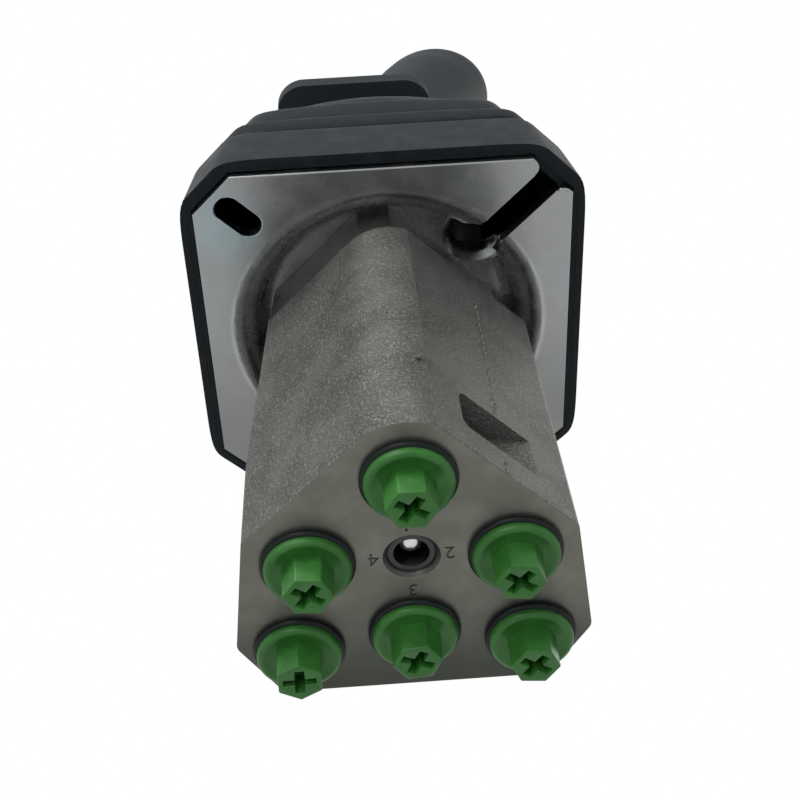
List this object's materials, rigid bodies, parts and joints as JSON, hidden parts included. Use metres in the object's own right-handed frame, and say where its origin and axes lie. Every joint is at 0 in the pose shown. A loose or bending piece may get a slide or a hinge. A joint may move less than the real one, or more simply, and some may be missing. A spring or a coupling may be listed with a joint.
{
  "type": "hydraulic pilot joystick valve",
  "caption": "Hand-operated pilot control valve: cast body with plugged ports, sheet-metal mounting plate, rubber bellows and a leaning lever grip.",
  "frame": {"origin": "middle of the mounting plate's underside, on the valve's axis", "axes": "+Z along the valve's axis from the port face towards the grip, -Y towards the port on the body's pointed side, +X towards port 2"},
  "size_m": [0.0992, 0.0992, 0.2744],
  "materials": {
    "cast_iron": "satin",
    "zinc_plate": "satin",
    "black_rubber": "matte",
    "green_plastic": "gloss",
    "bright_steel": "polished",
    "turned_steel": "satin",
    "spring_steel": "satin",
    "bush_steel": "satin",
    "grip_plastic": "matte"
  },
  "bodies": {
    "valve": {"valve_body": "cast_iron", "expander_sleeve": "turned_steel", "sealing_ball": "bright_steel", "port_plug_1": "green_plastic", "port_plug_2": "green_plastic", "port_plug_3": "green_plastic", "port_plug_4": "green_plastic", "port_plug_t": "green_plastic", "port_plug_p": "green_plastic", "plug_seals": "black_rubber", "mounting_plate": "zinc_plate", "boot": "black_rubber", "joint_base": "turned_steel", "bush_seals": "black_rubber", "wiper_rings": "black_rubber", "guide_bush_1": "bush_steel", "guide_bush_2": "bush_steel", "guide_bush_3": "bush_steel", "guide_bush_4": "bush_steel", "return_spring_1": "spring_steel", "return_spring_2": "spring_steel", "return_spring_3": "spring_steel", "return_spring_4": "spring_steel"},
    "cross": {"cross_spider": "turned_steel"},
    "lever": {"top_fork": "turned_steel", "cam_disc": "turned_steel", "cam_lock_nut": "turned_steel", "lever_coupling": "turned_steel", "lever_rod": "turned_steel", "rod_lock_nut": "turned_steel", "hand_rest": "grip_plastic", "grip_shell_left": "grip_plastic", "grip_shell_right": "grip_plastic", "grip_screws": "turned_steel"},
    "pusher_1_set": {"pusher_1": "turned_steel", "spring_seat_1": "turned_steel", "metering_spring_1": "spring_steel"},
    "spool_1_set": {"spool_1": "turned_steel"},
    "pusher_2_set": {"pusher_2": "turned_steel", "spring_seat_2": "turned_steel", "metering_spring_2": "spring_steel"},
    "spool_2_set": {"spool_2": "turned_steel"},
    "pusher_3_set": {"pusher_3": "turned_steel", "spring_seat_3": "turned_steel", "metering_spring_3": "spring_steel"},
    "spool_3_set": {"spool_3": "turned_steel"},
    "pusher_4_set": {"pusher_4": "turned_steel", "spring_seat_4": "turned_steel", "metering_spring_4": "spring_steel"},
    "spool_4_set": {"spool_4": "turned_steel"}
  },
  "joints": [
    {"name": "tilt_x", "type": "hinge", "parent": "valve", "child": "cross", "pos_m": [0, 0, 0.028], "axis": [1, 0, 0], "range_deg": [-20, 20], "stiffness_Nm_per_rad": 4, "deforming": ["boot"]},
    {"name": "tilt_y", "type": "hinge", "parent": "cross", "child": "lever", "pos_m": [0, 0, 0.028], "axis": [0, 1, 0], "range_deg": [-20, 20], "stiffness_Nm_per_rad": 4, "deforming": ["boot"]},
    {"name": "pusher_1_slide", "type": "slide", "parent": "valve", "child": "pusher_1_set", "axis": [0, 0, 1], "range_m": [-0.00826, 0.00826], "deforming": ["return_spring_1", "metering_spring_1"]},
    {"name": "spool_1_slide", "type": "slide", "parent": "valve", "child": "spool_1_set", "axis": [0, 0, 1], "range_m": [-0.00224, 0.00224]},
    {"name": "pusher_2_slide", "type": "slide", "parent": "valve", "child": "pusher_2_set", "axis": [0, 0, 1], "range_m": [-0.00826, 0.00826], "deforming": ["return_spring_2", "metering_spring_2"]},
    {"name": "spool_2_slide", "type": "slide", "parent": "valve", "child": "spool_2_set", "axis": [0, 0, 1], "range_m": [-0.00224, 0.00224]},
    {"name": "pusher_3_slide", "type": "slide", "parent": "valve", "child": "pusher_3_set", "axis": [0, 0, 1], "range_m": [-0.00826, 0.00826], "deforming": ["return_spring_3", "metering_spring_3"]},
    {"name": "spool_3_slide", "type": "slide", "parent": "valve", "child": "spool_3_set", "axis": [0, 0, 1], "range_m": [-0.00224, 0.00224]},
    {"name": "pusher_4_slide", "type": "slide", "parent": "valve", "child": "pusher_4_set", "axis": [0, 0, 1], "range_m": [-0.00826, 0.00826], "deforming": ["return_spring_4", "metering_spring_4"]},
    {"name": "spool_4_slide", "type": "slide", "parent": "valve", "child": "spool_4_set", "axis": [0, 0, 1], "range_m": [-0.00224, 0.00224]}
  ],
  "couplings": [
    {"joint": "pusher_1_slide", "follows": "tilt_x", "m_per_rad": -0.02366},
    {"joint": "spool_1_slide", "follows": "tilt_x", "m_per_rad": -0.0064},
    {"joint": "pusher_2_slide", "follows": "tilt_y", "m_per_rad": -0.02366},
    {"joint": "spool_2_slide", "follows": "tilt_y", "m_per_rad": -0.0064},
    {"joint": "pusher_3_slide", "follows": "tilt_x", "m_per_rad": 0.02366},
    {"joint": "spool_3_slide", "follows": "tilt_x", "m_per_rad": 0.0064},
    {"joint": "pusher_4_slide", "follows": "tilt_y", "m_per_rad": 0.02366},
    {"joint": "spool_4_slide", "follows": "tilt_y", "m_per_rad": 0.0064}
  ]
}
